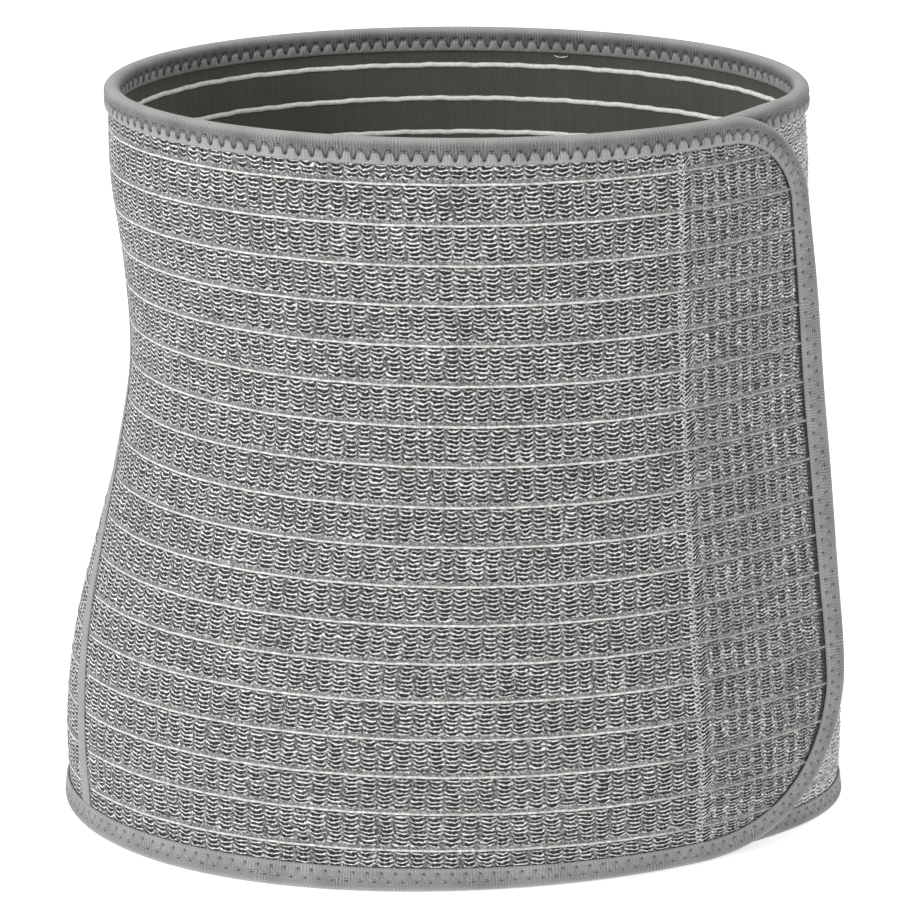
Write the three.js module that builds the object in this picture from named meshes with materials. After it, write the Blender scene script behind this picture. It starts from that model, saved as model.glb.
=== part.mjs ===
// Abdominal binder: one long elastic strip wrapped once round the body and closed on the
// right of the front by a hook flap. It stands open on its lower edge, as it keeps its form.
//
// Millimetres, +Z up. The front faces -Y and the flap closes towards +X, so the wearer's left.
// The strip is described by a wrap angle in degrees, which grows from the hidden inner end
// (under the front) past the right side (90), the back (180), the left side (270) and the
// front centre (360) to the end of the flap.

import * as THREE from 'three';
import { mergeVertices } from 'three/addons/utils/BufferGeometryUtils.js';
import { ParametricGeometry } from 'three/addons/geometries/ParametricGeometry.js';

// Overall form
const HEIGHT = 240;
const HALF_WIDTH = 126;
const HALF_DEPTH = 98;

// Cloth, tape and the room left between pieces
const ELASTIC_WALL = 1.6;
const TAPE_WALL = 1.0;
const CLEARANCE = 0.3;
const LAYER_CLEARANCE = 0.4;

// Stripes knitted across the elastic: a groove outside, a rib inside, a crown in between
const STRIPE_PITCH = 12.47;
const GROOVE_DEPTH = 0.25;
const BAND_CROWN = 0.2;
const RIB_HEIGHT = 0.45;

// Folded tape that binds the whole outline
const BINDING_WIDTH = 9;
const BINDING_CHAMFER = 0.8;

// Closing flap: its reach past the hook stitching, how far its end stands off, its corners
const STITCH_ANGLE = 398;
const FLAP_REACH_BOTTOM = 67;
const FLAP_REACH_TOP = 54;
const FLAP_LIFT = 10.5;
const FLAP_LIFT_POWER = 3;
const TOP_CORNER_ALONG = 36;
const TOP_CORNER_HIGH = 30;
const BOTTOM_CORNER_ALONG = 60;
const BOTTOM_CORNER_HIGH = 56;

// Hook panel sewn under the flap
const HOOK_WALL = 1.2;
const HOOK_SEAM_ALLOWANCE = 3;
const HOOK_MARGIN = 1;

// Inner end of the strip, and the angles between which it steps in to pass under the flap
const INNER_END_ANGLE = 20;
const INNER_CORNER = 12;
const INNER_FIRST_COLUMN = 15;
const STEP_IN_ANGLE = 45;
const STEP_OUT_ANGLE = 85;

// Side seam on the wearer's right
const SEAM_TAPE_WIDTH = 7;

// Facets
const BACK_COLUMNS = 26;
const FRONT_COLUMNS = 18;
const FLAP_COLUMNS = 5;
const HOOK_COLUMNS = 4;
const HOOK_ROWS = 14;
const TAPE_COLUMNS = 2;
const TAPE_ROWS = 20;
const EDGE_ROW_SHARES = [0, 0.28, 0.85];

// Sections of the body from the lower edge to the upper edge. up is a share of HEIGHT, left
// and right are shares of HALF_WIDTH, front and back are shares of HALF_DEPTH, lift is a
// share of FLAP_LIFT, and seam is the wrap angle of the side seam.
const SECTIONS = [
  { up: 0.0, left: 1.002, right: 1.002, front: 0.979, back: 0.979, lift: 0.49, seam: 291 },
  { up: 0.125, left: 1.007, right: 1.006, front: 1.007, back: 0.985, lift: 0.55, seam: 289 },
  { up: 0.25, left: 0.979, right: 0.986, front: 1.015, back: 0.985, lift: 0.8, seam: 285.5 },
  { up: 0.375, left: 0.921, right: 0.954, front: 1.012, back: 0.982, lift: 0.9, seam: 280.5 },
  { up: 0.5, left: 0.861, right: 0.922, front: 0.992, back: 0.961, lift: 0.99, seam: 275.5 },
  { up: 0.625, left: 0.823, right: 0.898, front: 0.951, back: 0.946, lift: 0.98, seam: 272 },
  { up: 0.75, left: 0.835, right: 0.894, front: 0.915, back: 0.941, lift: 0.84, seam: 270.5 },
  { up: 0.875, left: 0.867, right: 0.898, front: 0.895, back: 0.936, lift: 0.53, seam: 269.5 },
  { up: 1.0, left: 0.87, right: 0.885, front: 0.851, back: 0.917, lift: 0.36, seam: 269 },
];
const SECTION_COLUMNS = ['left', 'right', 'front', 'back', 'lift', 'seam'];

// What follows from the sizes above
const HALF_WALL = ELASTIC_WALL / 2;
const EDGE_INSET = TAPE_WALL + CLEARANCE;
const BINDING_STACK = ELASTIC_WALL + 2 * EDGE_INSET;
const HOOK_STACK = ELASTIC_WALL + RIB_HEIGHT + HOOK_WALL + 2 * CLEARANCE + BAND_CROWN;
const LAYER_STEP = Math.max(BINDING_STACK, HOOK_STACK) + LAYER_CLEARANCE;

const profile = new THREE.CubicInterpolant(
  SECTIONS.map((section) => section.up),
  SECTIONS.flatMap((section) => SECTION_COLUMNS.map((name) => section[name])),
  SECTION_COLUMNS.length,
  new Float64Array(SECTION_COLUMNS.length),
);

// The ellipse that the strip's middle surface follows at one height
function sectionAt(height) {
  const [left, right, front, back, lift, seam] = profile.evaluate(height / HEIGHT);
  const halfWidth = (HALF_WIDTH * (right + left)) / 2;
  const halfDepth = (HALF_DEPTH * (back + front)) / 2;
  return {
    centreX: (HALF_WIDTH * (right - left)) / 2,
    centreY: (HALF_DEPTH * (back - front)) / 2,
    halfWidth,
    halfDepth,
    turnRadius: Math.sqrt((halfWidth ** 2 + halfDepth ** 2) / 2),
    flapLift: FLAP_LIFT * lift,
    seam,
  };
}

// Degrees of wrap that one length along the strip takes at a height
function degreesFor(length, height) {
  return THREE.MathUtils.radToDeg(length / sectionAt(height).turnRadius);
}

// Length of the flap past the stitches at a height
function flapReach(height) {
  return THREE.MathUtils.lerp(FLAP_REACH_BOTTOM, FLAP_REACH_TOP, height / HEIGHT);
}

// How far the strip's middle surface stands off its ellipse: inside it where it passes under
// the flap, outside it towards the flap's free end
function standOff(angle, height) {
  const stepped = 1 - THREE.MathUtils.smoothstep(angle, STEP_IN_ANGLE, STEP_OUT_ANGLE);
  const pastStitches = Math.max(0, angle - STITCH_ANGLE) / degreesFor(flapReach(height), height);
  return sectionAt(height).flapLift * pastStitches ** FLAP_LIFT_POWER - LAYER_STEP * stepped;
}

// A point at a wrap angle and height, at a distance outside the strip's middle surface
function wrapPoint(angle, height, out) {
  const { centreX, centreY, halfWidth, halfDepth } = sectionAt(height);
  const turn = THREE.MathUtils.degToRad(angle);
  const outward = new THREE.Vector2(halfDepth * Math.sin(turn), -halfWidth * Math.cos(turn));
  outward.setLength(out + standOff(angle, height));
  const x = centreX + halfWidth * Math.sin(turn) + outward.x;
  const y = centreY - halfDepth * Math.cos(turn) + outward.y;
  return new THREE.Vector3(x, y, height);
}

// Length that a rounded corner takes off a row at a distance from the strip's edge
function cornerCut(fromEdge, along, high, inset) {
  const climb = Math.max(0, high - fromEdge) / (high - inset);
  return (along - inset) * (1 - Math.sqrt(1 - Math.min(1, climb) ** 2));
}

// Wrap angle where the flap ends at a height, a distance inside its outline
function flapEndAngle(height, inset) {
  const top = cornerCut(HEIGHT - height, TOP_CORNER_ALONG, TOP_CORNER_HIGH, inset);
  const bottom = cornerCut(height, BOTTOM_CORNER_ALONG, BOTTOM_CORNER_HIGH, inset);
  return STITCH_ANGLE + degreesFor(flapReach(height) - inset - top - bottom, height);
}

// Wrap angle where the hidden inner end starts at a height
function innerEndAngle(height, inset) {
  const fromEdge = Math.min(height, HEIGHT - height);
  const cut = cornerCut(fromEdge, INNER_CORNER, INNER_CORNER, inset);
  return INNER_END_ANGLE + degreesFor(inset + cut, height);
}

// Rows of the elastic, from the lower edge up: plain rows under the binding, then a grooved
// row on each stripe and a crowned row half-way between stripes
function elasticRows() {
  const covered = BINDING_WIDTH - EDGE_INSET;
  const edges = EDGE_ROW_SHARES.map((share) => EDGE_INSET + share * covered);
  const spaces = Math.floor((HEIGHT - 2 * BINDING_WIDTH) / STRIPE_PITCH);
  const firstStripe = (HEIGHT - spaces * STRIPE_PITCH) / 2;
  const rows = edges.map((height) => ({ height, outer: 0, inner: 0 }));
  for (let half = 0; half <= 2 * spaces; half += 1) {
    const onStripe = half % 2 === 0;
    rows.push({
      height: firstStripe + (half * STRIPE_PITCH) / 2,
      outer: onStripe ? -GROOVE_DEPTH : BAND_CROWN,
      inner: onStripe ? RIB_HEIGHT : 0,
    });
  }
  edges.reverse().forEach((height) => rows.push({ height: HEIGHT - height, outer: 0, inner: 0 }));
  return rows;
}

// Evenly spaced plain rows between two heights
function plainRows(bottom, top, count) {
  return Array.from({ length: count + 1 }, (unused, index) => ({
    height: THREE.MathUtils.lerp(bottom, top, index / count),
    outer: 0,
    inner: 0,
  }));
}

// Share of the stripes' relief at a place: they lie flat beside the binding at the two ends
function reliefAt(angle, height) {
  const toEnd = Math.min(angle - innerEndAngle(height, 0), flapEndAngle(height, 0) - angle);
  const flat = degreesFor(2 * BINDING_WIDTH, height);
  const full = degreesFor(3 * BINDING_WIDTH, height);
  return THREE.MathUtils.smoothstep(toEnd, flat, full);
}

// Joins the seams of a geometry, so that it is one closed body
function closeBody(geometry) {
  geometry.deleteAttribute('normal');
  geometry.deleteAttribute('uv');
  const closed = mergeVertices(geometry, 1e-4);
  closed.computeVertexNormals();
  return closed;
}

// A cloth wall: a box of columns and rows bent round the wrap. angleAt gives the wrap angle
// of a column at a height, and the wall lies from `inside` to `outside` of the middle surface.
function clothWall({ columns, rows, angleAt, inside, outside }) {
  const geometry = new THREE.BoxGeometry(1, 1, 1, columns, rows.length - 1, 1);
  const position = geometry.getAttribute('position');
  for (let index = 0; index < position.count; index += 1) {
    const column = Math.round((position.getX(index) + 0.5) * columns);
    const row = rows[Math.round((position.getY(index) + 0.5) * (rows.length - 1))];
    const angle = angleAt(column, row.height);
    const relief = reliefAt(angle, row.height) * (position.getZ(index) > 0 ? row.outer : -row.inner);
    const out = relief + (position.getZ(index) > 0 ? outside : inside);
    const point = wrapPoint(angle, row.height, out);
    position.setXYZ(index, point.x, point.y, point.z);
  }
  return closeBody(geometry);
}

function clothMaterial(color, roughness) {
  return new THREE.MeshStandardMaterial({ color, roughness, metalness: 0 });
}

function clothMesh(name, geometry, material) {
  const mesh = new THREE.Mesh(geometry, material);
  mesh.name = name;
  return mesh;
}

// Back panel: from the hidden inner end round the right side and the back to the side seam
function backAngle(column, height) {
  if (column === 0) {
    return innerEndAngle(height, EDGE_INSET);
  }
  const first = INNER_END_ANGLE + degreesFor(INNER_FIRST_COLUMN, height);
  const last = sectionAt(height).seam - degreesFor(CLEARANCE / 2, height);
  return THREE.MathUtils.lerp(first, last, (column - 1) / (BACK_COLUMNS - 1));
}

function makeBackPanel() {
  const geometry = clothWall({
    columns: BACK_COLUMNS,
    rows: elasticRows(),
    angleAt: backAngle,
    inside: -HALF_WALL,
    outside: HALF_WALL,
  });
  return clothMesh('back_panel', geometry, clothMaterial(0x8d8d89, 0.95));
}

// Front panel: from the side seam across the front to the rounded end of the flap
function frontAngle(column, height) {
  if (column <= FRONT_COLUMNS) {
    const start = sectionAt(height).seam + degreesFor(CLEARANCE / 2, height);
    return THREE.MathUtils.lerp(start, STITCH_ANGLE, column / FRONT_COLUMNS);
  }
  const share = (column - FRONT_COLUMNS) / FLAP_COLUMNS;
  return THREE.MathUtils.lerp(STITCH_ANGLE, flapEndAngle(height, EDGE_INSET), share);
}

function makeFrontPanel() {
  const geometry = clothWall({
    columns: FRONT_COLUMNS + FLAP_COLUMNS,
    rows: elasticRows(),
    angleAt: frontAngle,
    inside: -HALF_WALL,
    outside: HALF_WALL,
  });
  return clothMesh('front_panel', geometry, clothMaterial(0x9a9a96, 0.95));
}

// Edge binding: one tape folded over the outline of the strip, joined at the inner end. Its
// stations follow the outline of the two panels, along the top, down the flap and back. The
// straight stretches of the two ends need only the stripes' rows.
function bindingStations() {
  const bottom = EDGE_INSET;
  const top = HEIGHT - EDGE_INSET;
  const needed = ({ height, outer }) => {
    const onCorner = height < BOTTOM_CORNER_HIGH || height > HEIGHT - TOP_CORNER_HIGH;
    return height > bottom && height < top && (onCorner || outer < 0);
  };
  const between = elasticRows().filter(needed).map((row) => row.height);
  const alongEdge = (height) => {
    const stations = [];
    for (let column = 0; column <= BACK_COLUMNS; column += 1) {
      stations.push({ angle: backAngle(column, height), height });
    }
    for (let column = 1; column <= FRONT_COLUMNS + FLAP_COLUMNS; column += 1) {
      stations.push({ angle: frontAngle(column, height), height });
    }
    return stations;
  };
  const flapEnd = between.map((height) => ({
    angle: frontAngle(FRONT_COLUMNS + FLAP_COLUMNS, height),
    height,
  }));
  const innerEnd = between.map((height) => ({ angle: backAngle(0, height), height }));
  return [...alongEdge(top), ...flapEnd.reverse(), ...alongEdge(bottom).reverse(), ...innerEnd];
}

// The folded tape's section: distances into the strip from its edge, and outside its middle
function bindingSection() {
  const legEnd = BINDING_WIDTH - EDGE_INSET;
  const innerFace = HALF_WALL + CLEARANCE;
  const outerFace = innerFace + TAPE_WALL;
  return [
    { into: legEnd, out: outerFace },
    { into: legEnd, out: innerFace },
    { into: -CLEARANCE, out: innerFace },
    { into: -CLEARANCE, out: -innerFace },
    { into: legEnd, out: -innerFace },
    { into: legEnd, out: -outerFace },
    { into: BINDING_CHAMFER - EDGE_INSET, out: -outerFace },
    { into: -EDGE_INSET, out: BINDING_CHAMFER - outerFace },
    { into: -EDGE_INSET, out: outerFace - BINDING_CHAMFER },
    { into: BINDING_CHAMFER - EDGE_INSET, out: outerFace },
  ];
}

function makeEdgeBinding() {
  const stations = bindingStations();
  const section = bindingSection();
  const count = stations.length;
  const pointAt = (around, along, target) => {
    const index = Math.round(along * count) % count;
    const { angle, height } = stations[index];
    const before = stations[(index + count - 1) % count];
    const after = stations[(index + 1) % count];
    const { turnRadius } = sectionAt(height);
    const run = THREE.MathUtils.degToRad(after.angle - before.angle) * turnRadius;
    const inward = new THREE.Vector2(after.height - before.height, -run).normalize();
    const { into, out } = section[Math.round(around * section.length) % section.length];
    const movedHeight = height + into * inward.y;
    const movedAngle = angle + degreesFor(into * inward.x, height);
    target.copy(wrapPoint(movedAngle, movedHeight, out));
  };
  const geometry = closeBody(new ParametricGeometry(pointAt, section.length, count));
  return clothMesh('edge_binding', geometry, clothMaterial(0x8f8f8c, 0.85));
}

// Side seam tape: a flat tape over the joint of the two panels, between the bindings
function makeSideSeamTape() {
  const end = BINDING_WIDTH + CLEARANCE;
  const inside = HALF_WALL + BAND_CROWN + CLEARANCE;
  const geometry = clothWall({
    columns: TAPE_COLUMNS,
    rows: plainRows(end, HEIGHT - end, TAPE_ROWS),
    angleAt: (column, height) => {
      const across = (column / TAPE_COLUMNS - 0.5) * SEAM_TAPE_WIDTH;
      return sectionAt(height).seam + degreesFor(across, height);
    },
    inside,
    outside: inside + TAPE_WALL,
  });
  return clothMesh('side_seam_tape', geometry, clothMaterial(0xa3a3a0, 0.85));
}

// Hook panel: the gripping side of the closure, sewn to the inside of the flap from the
// stitch line to the binding
function makeHookPanel() {
  const inset = BINDING_WIDTH + HOOK_MARGIN;
  const outside = -(HALF_WALL + RIB_HEIGHT + CLEARANCE);
  const geometry = clothWall({
    columns: HOOK_COLUMNS,
    rows: plainRows(inset, HEIGHT - inset, HOOK_ROWS),
    angleAt: (column, height) => {
      const start = STITCH_ANGLE - degreesFor(HOOK_SEAM_ALLOWANCE, height);
      return THREE.MathUtils.lerp(start, flapEndAngle(height, inset), column / HOOK_COLUMNS);
    },
    inside: outside - HOOK_WALL,
    outside,
  });
  return clothMesh('hook_panel', geometry, clothMaterial(0x6b6b66, 1));
}

// The binder stands with its origin under the middle of its outline
const binder = new THREE.Group();
binder.add(
  makeFrontPanel(),
  makeBackPanel(),
  makeEdgeBinding(),
  makeSideSeamTape(),
  makeHookPanel(),
);
const extent = new THREE.Box3().setFromObject(binder);
const middle = extent.getCenter(new THREE.Vector3());
binder.position.set(-middle.x, -middle.y, -extent.min.z);

export default binder;
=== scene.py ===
"""Abdominal binder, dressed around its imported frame: one strip of striped knitted elastic, wrapped
once round the body and closed by a hook flap at the right of the front. Everything is in metres.

The strip is followed by a wrap angle in degrees: from the hidden inner end at 20, past the right
side (90), the back (180), the left side (270) and the front centre (360) to the flap's end.
"""

import math

import bmesh
import bpy
import numpy as np
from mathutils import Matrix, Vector


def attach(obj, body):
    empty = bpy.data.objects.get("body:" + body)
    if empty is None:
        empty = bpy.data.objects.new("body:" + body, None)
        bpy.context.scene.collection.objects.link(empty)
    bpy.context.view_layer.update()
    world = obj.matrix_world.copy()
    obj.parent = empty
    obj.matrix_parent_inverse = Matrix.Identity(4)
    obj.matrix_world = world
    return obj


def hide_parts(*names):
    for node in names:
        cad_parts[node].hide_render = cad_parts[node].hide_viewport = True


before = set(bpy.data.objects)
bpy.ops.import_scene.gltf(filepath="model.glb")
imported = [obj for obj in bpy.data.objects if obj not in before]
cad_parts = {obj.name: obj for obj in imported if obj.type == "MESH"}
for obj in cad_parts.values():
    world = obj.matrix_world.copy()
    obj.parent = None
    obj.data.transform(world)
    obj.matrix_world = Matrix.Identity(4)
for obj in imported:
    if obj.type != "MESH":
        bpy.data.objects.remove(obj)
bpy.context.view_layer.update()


# Back panel: knitted elastic from the hidden inner end round the right side and the back to the
# side seam. Ground yarns make columns of small holes outside and a dark plain face inside, and
# cut across them every 12.5 mm runs a white elastic yarn.

HEIGHT = 0.240
HALF_WIDTH = 0.126
HALF_DEPTH = 0.098
MIDDLE_SHIFT = (0.000043, 0.001321)
SECTIONS = np.array([
    # left, right, front, back, lift, seam
    (1.002, 1.002, 0.979, 0.979, 0.49, 291.0),
    (1.007, 1.006, 1.007, 0.985, 0.55, 289.0),
    (0.979, 0.986, 1.015, 0.985, 0.80, 285.5),
    (0.921, 0.954, 1.012, 0.982, 0.90, 280.5),
    (0.861, 0.922, 0.992, 0.961, 0.99, 275.5),
    (0.823, 0.898, 0.951, 0.946, 0.98, 272.0),
    (0.835, 0.894, 0.915, 0.941, 0.84, 270.5),
    (0.867, 0.898, 0.895, 0.936, 0.53, 269.5),
    (0.870, 0.885, 0.851, 0.917, 0.36, 269.0),
])
STITCH_ANGLE = 398.0
INNER_END_ANGLE = 20.0
STEP_IN_ANGLE = 45.0
STEP_OUT_ANGLE = 85.0
LAYER_STEP = 0.0046
TUCKED_NARROWER = 0.007
TUCK_ANGLES = (46.0, 66.0)
FLAP_REACH = (0.067, 0.054)
FLAP_LIFT = 0.0105
FLAP_LIFT_POWER = 3
TOP_CORNER = (0.036, 0.030)
BOTTOM_CORNER = (0.066, 0.055)
INNER_CORNER = (0.012, 0.012)
LOWER_SKEW = 0.0052
LOWER_SKEW_END = 0.030
BACK_RISE = 0.0052
RISE_ANGLES = (80.0, 118.0)
FALL_ANGLES = (222.0, 262.0)
EDGE_INSET = 0.0013
HALF_WALL = 0.0008
STRIPE_PITCH = 0.01247
FIRST_STRIPE = 0.0140
STRIPES = 18
BAND_ROWS = 18
END_ROWS = 8


def section_at(height):
    """The six section values at each of many heights, by a cubic through the sections."""
    place = np.clip(np.asarray(height, float) / HEIGHT, 0, 1) * (len(SECTIONS) - 1)
    index = np.clip(np.floor(place).astype(int), 0, len(SECTIONS) - 2)
    p = (place - index)[..., None]
    v0 = SECTIONS[index]
    v1 = SECTIONS[index + 1]
    at_start = (index == 0)[..., None]
    at_end = (index == len(SECTIONS) - 2)[..., None]
    before = np.where(at_start, v1, SECTIONS[np.maximum(index - 1, 0)])
    after = np.where(at_end, v0, SECTIONS[np.minimum(index + 2, len(SECTIONS) - 1)])
    wp = np.where(at_start, -0.5, 0.5)
    wn = np.where(at_end, -0.5, 0.5)
    sp = -wp * p**3 + 2 * wp * p**2 - wp * p
    s0 = (1 + wp) * p**3 - (1.5 + 2 * wp) * p**2 - (0.5 - wp) * p + 1
    s1 = -(1 + wn) * p**3 + (1.5 + wn) * p**2 + 0.5 * p
    sn = wn * p**3 - wn * p**2
    return np.moveaxis(sp * before + s0 * v0 + s1 * v1 + sn * after, -1, 0)


def degrees_for(length, height):
    """Degrees of wrap that a length along the strip takes at a height."""
    left, right, front, back, lift, seam = section_at(height)
    width = HALF_WIDTH * (left + right) / 2
    depth = HALF_DEPTH * (front + back) / 2
    return np.degrees(length / np.sqrt((width**2 + depth**2) / 2))


def smooth(value, low, high):
    share = np.clip((value - low) / (high - low), 0, 1)
    return share * share * (3 - 2 * share)


def wrap(angle, height, out):
    """Points in the frame at wrap angles and heights, at distances outside the middle surface."""
    left, right, front, back, lift, seam = section_at(height)
    width = HALF_WIDTH * (left + right) / 2
    depth = HALF_DEPTH * (front + back) / 2
    turn = np.radians(angle)
    nx, ny = depth * np.sin(turn), -width * np.cos(turn)
    size = np.hypot(nx, ny)
    reach = FLAP_REACH[0] + (FLAP_REACH[1] - FLAP_REACH[0]) * height / HEIGHT
    past = np.maximum(0, angle - STITCH_ANGLE) / degrees_for(reach, height)
    off = FLAP_LIFT * lift * past**FLAP_LIFT_POWER
    off = off - LAYER_STEP * (1 - smooth(angle, STEP_IN_ANGLE, STEP_OUT_ANGLE)) + out
    x = HALF_WIDTH * (right - left) / 2 + width * np.sin(turn) + nx / size * off
    y = HALF_DEPTH * (back - front) / 2 - depth * np.cos(turn) + ny / size * off
    # the lower edge swings out at the front left and in at the front right
    near_edge = np.clip(1 - height / LOWER_SKEW_END, 0, 1) ** 2
    y = y + LOWER_SKEW * near_edge * np.sin(2 * turn)
    # where it is tucked under the flap the strip is drawn a little narrower
    level = height * (1 - TUCKED_NARROWER * (1 - smooth(angle, *TUCK_ANGLES)))
    return np.stack([x + MIDDLE_SHIFT[0], y + MIDDLE_SHIFT[1], level + 0 * x], axis=-1)


def corner_cut(from_edge, corner, inset):
    """Length that a rounded corner takes off the strip at a distance from its edge."""
    along, high = corner[0] - inset, corner[1] - inset
    climb = np.clip((corner[1] - from_edge) / high, 0, 1)
    return along * (1 - np.sqrt(1 - climb**2))


def flap_end(height, inset):
    top = corner_cut(HEIGHT - height, TOP_CORNER, inset)
    bottom = corner_cut(height, BOTTOM_CORNER, inset)
    reach = FLAP_REACH[0] + (FLAP_REACH[1] - FLAP_REACH[0]) * height / HEIGHT
    return STITCH_ANGLE + degrees_for(reach - inset - top - bottom, height)


def inner_end(height, inset):
    cut = corner_cut(np.minimum(height, HEIGHT - height), INNER_CORNER, inset)
    return INNER_END_ANGLE + degrees_for(inset + cut, height)


def side_seam(height):
    return section_at(height)[5]


# Length along the cloth from the hook stitching, at each wrap angle, round a plan of mean size
MEAN_HALF_WIDTH = 0.1145
MEAN_HALF_DEPTH = 0.0945
turn_angles = np.linspace(0.0, 450.0, 4501)
turn_steps = np.hypot(
    MEAN_HALF_WIDTH * np.cos(np.radians(turn_angles)),
    MEAN_HALF_DEPTH * np.sin(np.radians(turn_angles)),
)
mean_steps = (turn_steps[1:] + turn_steps[:-1]) / 2
turn_lengths = np.concatenate([[0], np.cumsum(mean_steps) * math.radians(0.1)])
turn_lengths = turn_lengths - np.interp(STITCH_ANGLE, turn_angles, turn_lengths)


def length_at(angle):
    return np.interp(angle, turn_angles, turn_lengths)


def angle_at(length):
    return np.interp(length, turn_lengths, turn_angles)


def cloth_rows():
    """Heights of a panel's mesh rows: evenly spaced between stripes and under the binding."""
    step = STRIPE_PITCH / BAND_ROWS
    top_stripe = FIRST_STRIPE + STRIPE_PITCH * (STRIPES - 1)
    inner = FIRST_STRIPE + step * np.arange(BAND_ROWS * (STRIPES - 1) + 1)
    below = np.linspace(EDGE_INSET, FIRST_STRIPE, END_ROWS)[:-1]
    above = np.linspace(top_stripe, HEIGHT - EDGE_INSET, END_ROWS)[1:]
    return np.concatenate([below, inner, above])


def stripe_rise(angle, height):
    """How far the stripes ride up round the back, where the cloth is pulled in most."""
    round_back = smooth(angle, *RISE_ANGLES) * (1 - smooth(angle, *FALL_ANGLES))
    return BACK_RISE * round_back * np.sin(np.pi * np.clip(height / HEIGHT, 0, 1))


def stripe_phase(height):
    """Distance in metres below the nearest stripe above, from 0 to the pitch."""
    share = (height - FIRST_STRIPE) / STRIPE_PITCH
    return (1 - (share - np.floor(share))) * STRIPE_PITCH


HOLE_COLUMN = 0.0048
HOLE_ROW = STRIPE_PITCH / 9
HOLES_END = 8 * HOLE_ROW
COLUMN_SINK = 0.00022
BAND_CROWN = 0.00018
WORN_ANGLES = (56.0, 101.0)
WORN_END = float(length_at(WORN_ANGLES[1]))


def knit_relief(length, height):
    """How far the outer face rises or sinks: columns of short dashes sunk between knitted ribs."""
    below = stripe_phase(height)
    column = length / HOLE_COLUMN
    across = column - np.floor(column) - 0.5
    row = below / HOLE_ROW
    down = row - np.floor(row) - 0.5
    in_rows = below < HOLES_END
    sunk = (1 - smooth(np.abs(across), 0.22, 0.42)) * (0.5 + 0.5 * np.cos(2 * np.pi * down))
    crown = np.sin(np.pi * np.clip(below / STRIPE_PITCH, 0, 1))
    return in_rows * (-COLUMN_SINK * sunk) + BAND_CROWN * crown


def flat_layer(mesh, columns, rows_between, facing_out):
    """One flat layer of cloth, laid out in shares from 0 to 1, at z 1 outside or 0 inside."""
    made = bmesh.ops.create_grid(mesh, x_segments=columns, y_segments=rows_between, size=0.5)["verts"]
    bmesh.ops.translate(mesh, vec=(0.5, 0.5, 1.0 if facing_out else 0.0), verts=made)
    faces = {face for vert in made for face in vert.link_faces}
    if not facing_out:
        bmesh.ops.reverse_faces(mesh, faces=list(faces))
        for face in faces:
            face.material_index = 1


def bent_cloth(name, starts, ends, rows, column, coarser, relief, inside, outside, bound_end=False):
    """A closed wall of cloth: a fine outer layer, and a plain inner one with that many times
    coarser faces, laid out flat, joined round their rims and bent round the wrap. starts and
    ends give its two ends' wrap angles. Binding covers the far end if it is the bound one, and
    otherwise the near end."""
    wide = column * coarser
    first = math.floor(length_at(starts(rows)).min() / wide) * wide
    last = math.ceil(length_at(ends(rows)).max() / wide) * wide
    columns = round((last - first) / wide)
    mesh = bmesh.new()
    flat_layer(mesh, columns * coarser, len(rows) - 1, True)
    flat_layer(mesh, columns, (len(rows) - 1) // coarser, False)
    bmesh.ops.bridge_loops(mesh, edges=[edge for edge in mesh.edges if edge.is_boundary])
    flat = mesh.loops.layers.uv.new("flat")
    rim_uv = mesh.loops.layers.uv.new("rim")
    share = np.array([vert.co[:] for vert in mesh.verts])
    index = np.rint(share[:, 1] * (len(rows) - 1)).astype(int)
    row = rows[index]
    low, high = length_at(starts(rows)), length_at(ends(rows))
    along = np.clip(first + share[:, 0] * (last - first), low[index], high[index])
    turned = angle_at(along)
    # heights as the stripes are knitted, before they ride up
    knitted = row - stripe_rise(turned, row - stripe_rise(turned, row))
    bound = high if bound_end else low
    steep = np.hypot(1, np.gradient(bound, rows))[index]
    # rim: distance from the long edges and the bound end, kept as the rim UV map; the outer knit's
    # shader paints shade beside the binding's lip from it
    rim = np.minimum(np.minimum(row, HEIGHT - row), np.abs(bound[index] - along) / steep)
    out = np.where(share[:, 2] > 0.5, outside + relief(along, knitted), inside)
    points = wrap(turned, row, out)
    for vert, point in zip(mesh.verts, points):
        vert.co = point
    mesh.verts.index_update()
    for face in mesh.faces:
        for loop in face.loops:
            number = loop.vert.index
            loop[flat].uv = (along[number], knitted[number])
            loop[rim_uv].uv = (rim[number], 0)
        face.smooth = True
    bmesh.ops.remove_doubles(mesh, verts=mesh.verts, dist=2e-6)
    data = bpy.data.meshes.new(name)
    mesh.to_mesh(data)
    mesh.free()
    piece = bpy.data.objects.new(name, data)
    bpy.context.scene.collection.objects.link(piece)
    return piece


SEAM_GAP = 0.00015
rows = cloth_rows()
back_panel = bent_cloth(
    "back_panel_cloth",
    lambda height: inner_end(height, EDGE_INSET),
    lambda height: side_seam(height) - degrees_for(SEAM_GAP, height),
    rows,
    column=0.0025,
    coarser=2,
    relief=knit_relief,
    inside=-HALF_WALL,
    outside=HALF_WALL,
)


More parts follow.
